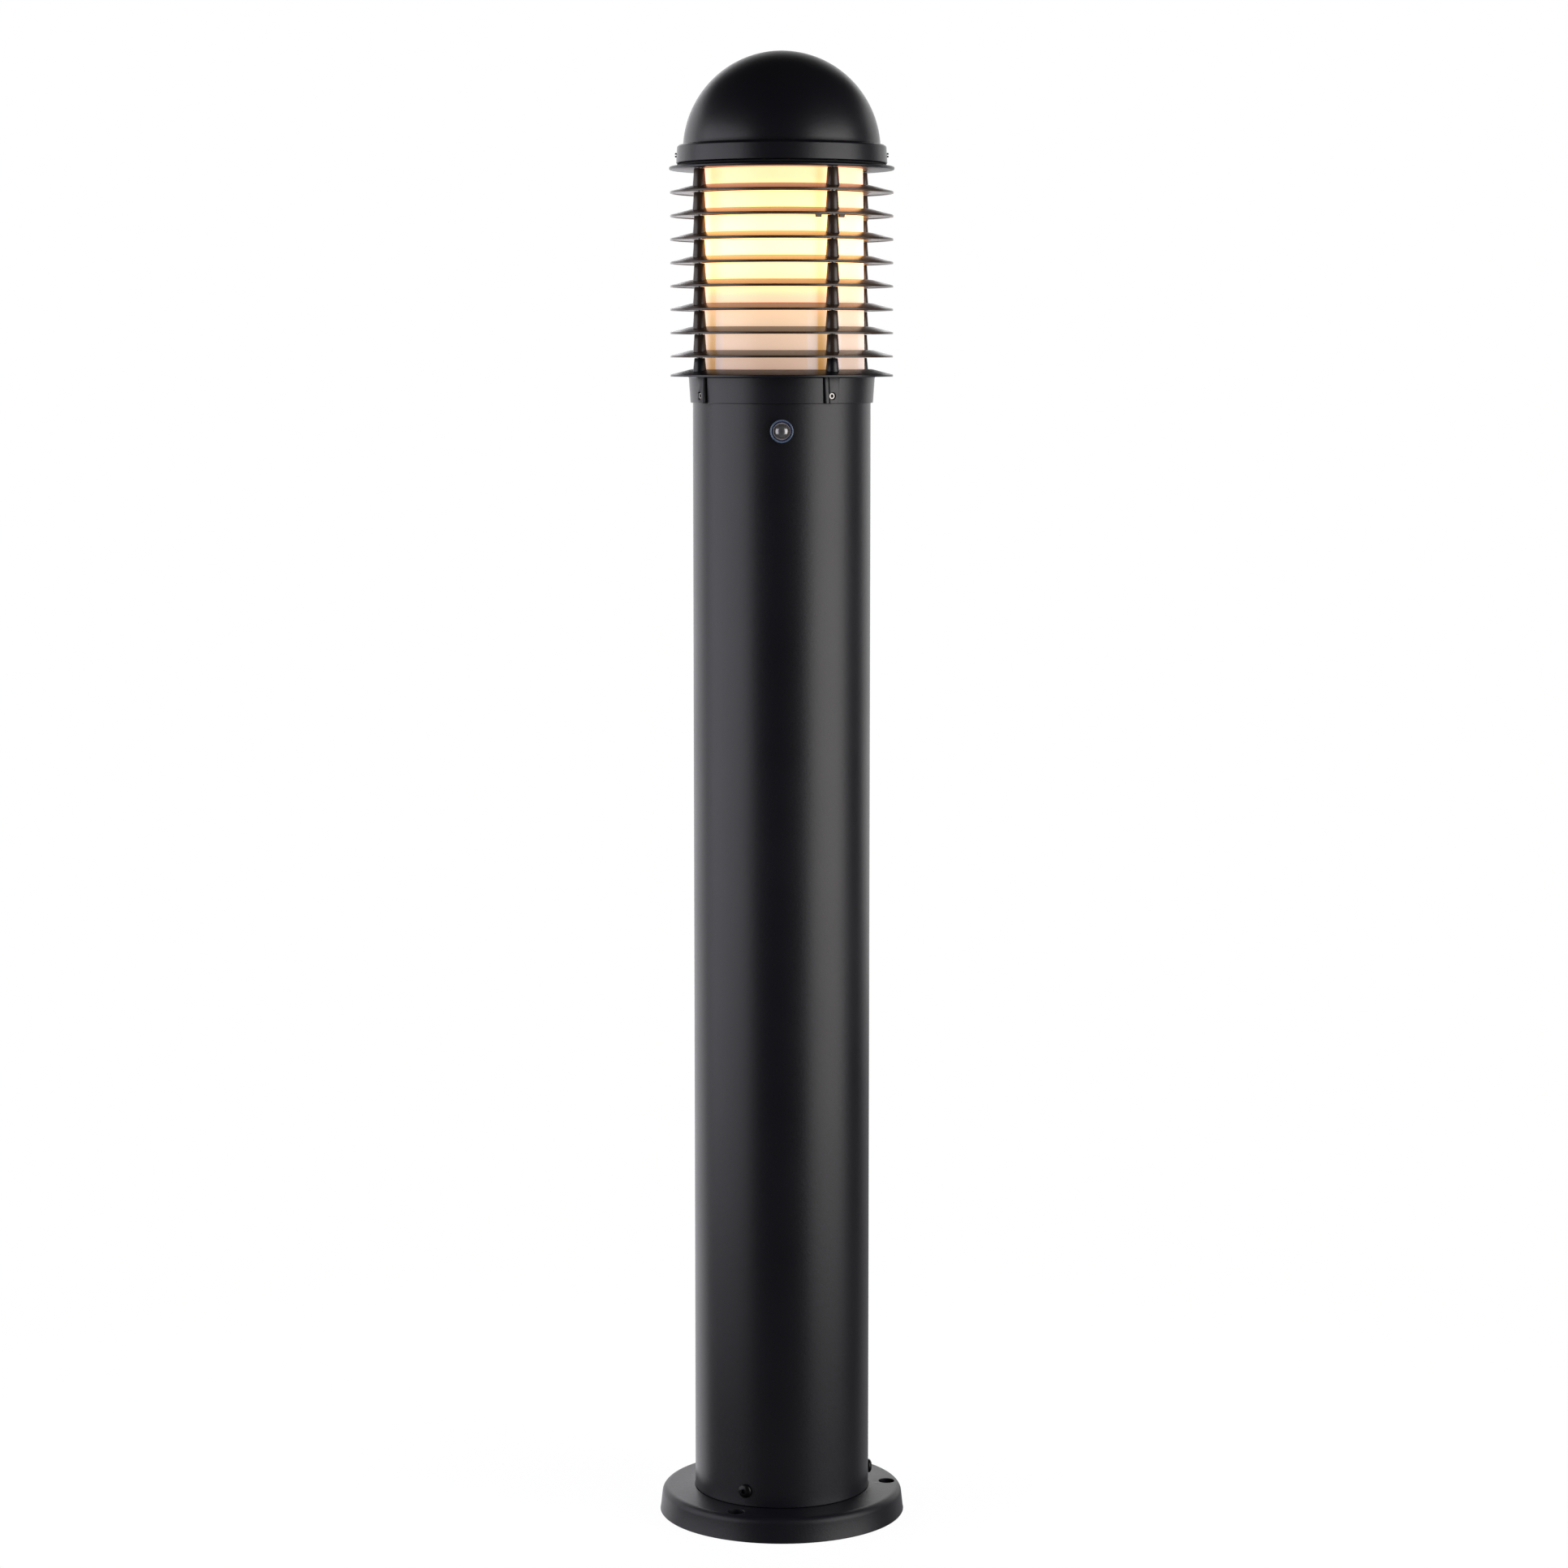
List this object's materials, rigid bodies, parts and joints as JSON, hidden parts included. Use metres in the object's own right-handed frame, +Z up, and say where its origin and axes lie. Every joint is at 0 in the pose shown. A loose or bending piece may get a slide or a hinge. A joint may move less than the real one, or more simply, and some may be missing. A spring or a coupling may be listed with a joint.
{
  "type": "bollard light",
  "caption": "Round bollard light with a bolted flange, a louvred lantern head round an opal diffuser, a domed cap and a dusk sensor.",
  "frame": {"origin": "on the ground, in the middle of the base flange's underside", "axes": "+Z up along the post; -Y toward the front, where the light sensor is; +X to the right seen from the front"},
  "size_m": [0.169, 0.169, 1],
  "materials": {
    "charcoal_powder_coat": "satin powder coat with a fine grain",
    "black_steel": "blackened steel, satin",
    "stainless_steel": "bright, turned",
    "zinc_plated_steel": "zinc plated, slightly dull",
    "black_rubber": "matt",
    "opal_polycarbonate": "opal, lit warm from inside",
    "white_enamel": "satin white",
    "white_ceramic": "glazed",
    "brass_contact": "plain",
    "lamp_body_plastic": "satin white",
    "lamp_globe_opal": "opal, glowing",
    "terminal_nylon": "natural nylon",
    "lead_brown": "PVC insulation",
    "lead_blue": "PVC insulation",
    "lead_black": "PVC insulation",
    "lead_green": "PVC insulation, green with a yellow stripe",
    "sensor_clear_plastic": "clear, slightly blue",
    "sensor_lens_plastic": "clear smoked dome",
    "sensor_epoxy": "black potting compound"
  },
  "bodies": {
    "root": {"base_flange": "charcoal_powder_coat", "bracket_screw_1": "zinc_plated_steel", "bracket_screw_2": "zinc_plated_steel", "collar": "charcoal_powder_coat", "collar_screw_1": "stainless_steel", "collar_screw_2": "stainless_steel", "collar_screw_3": "stainless_steel", "collar_screw_4": "stainless_steel", "diffuser_seal": "black_rubber", "earth_screw": "zinc_plated_steel", "gear_tray": "zinc_plated_steel", "holder_bracket": "zinc_plated_steel", "holder_contact": "brass_contact", "holder_nut": "zinc_plated_steel", "lampholder": "white_ceramic", "lead_earth": "lead_green", "lead_live": "lead_brown", "lead_neutral": "lead_blue", "lead_sensor": "lead_black", "louvre_ring_1": "charcoal_powder_coat", "louvre_ring_2": "charcoal_powder_coat", "louvre_ring_3": "charcoal_powder_coat", "louvre_ring_4": "charcoal_powder_coat", "louvre_ring_5": "charcoal_powder_coat", "louvre_ring_6": "charcoal_powder_coat", "louvre_ring_7": "charcoal_powder_coat", "louvre_ring_8": "charcoal_powder_coat", "post_screw_1": "black_steel", "post_screw_2": "black_steel", "post_screw_3": "black_steel", "post_tube": "charcoal_powder_coat", "sensor_bezel": "sensor_clear_plastic", "sensor_body": "sensor_epoxy", "sensor_lens": "sensor_lens_plastic", "sensor_nut": "zinc_plated_steel", "sensor_seal": "black_rubber", "terminal_block": "terminal_nylon", "terminal_screw_1": "zinc_plated_steel", "terminal_screw_2": "zinc_plated_steel", "tie_bolt_1": "zinc_plated_steel", "tie_bolt_2": "zinc_plated_steel", "tie_bolt_3": "zinc_plated_steel", "tie_bolt_4": "zinc_plated_steel", "top_plate": "charcoal_powder_coat", "tray_grommet": "black_rubber", "tray_screw_1": "zinc_plated_steel", "tray_screw_2": "zinc_plated_steel", "tray_screw_3": "zinc_plated_steel"},
    "lamp": {"lamp_cap": "zinc_plated_steel", "lamp_body": "lamp_body_plastic", "lamp_globe": "lamp_globe_opal"},
    "diffuser_unit": {"diffuser": "opal_polycarbonate", "reflector": "white_enamel"},
    "cap_unit": {"cap": "charcoal_powder_coat", "cap_gasket": "black_rubber"},
    "cap_screw_left_unit": {"cap_screw_left": "black_steel"},
    "cap_screw_right_unit": {"cap_screw_right": "black_steel"}
  },
  "joints": [
    {"name": "lamp_lift", "type": "slide", "parent": "root", "child": "lamp", "axis": [0, 0, 1], "range_m": [0, 0.022]},
    {"name": "diffuser_lift", "type": "slide", "parent": "root", "child": "diffuser_unit", "axis": [0, 0, 1], "range_m": [0, 0.155]},
    {"name": "cap_lift", "type": "slide", "parent": "diffuser_unit", "child": "cap_unit", "axis": [0, 0, 1], "range_m": [0, 0.1]},
    {"name": "cap_screw_left_turn", "type": "hinge", "parent": "cap_unit", "child": "cap_screw_left_unit", "pos_m": [-0.0718, 0, 0.931], "axis": [-1, 0, 0], "range_deg": [0, 1080]},
    {"name": "cap_screw_right_turn", "type": "hinge", "parent": "cap_unit", "child": "cap_screw_right_unit", "pos_m": [0.0718, 0, 0.931], "axis": [1, 0, 0], "range_deg": [0, 1080]}
  ]
}
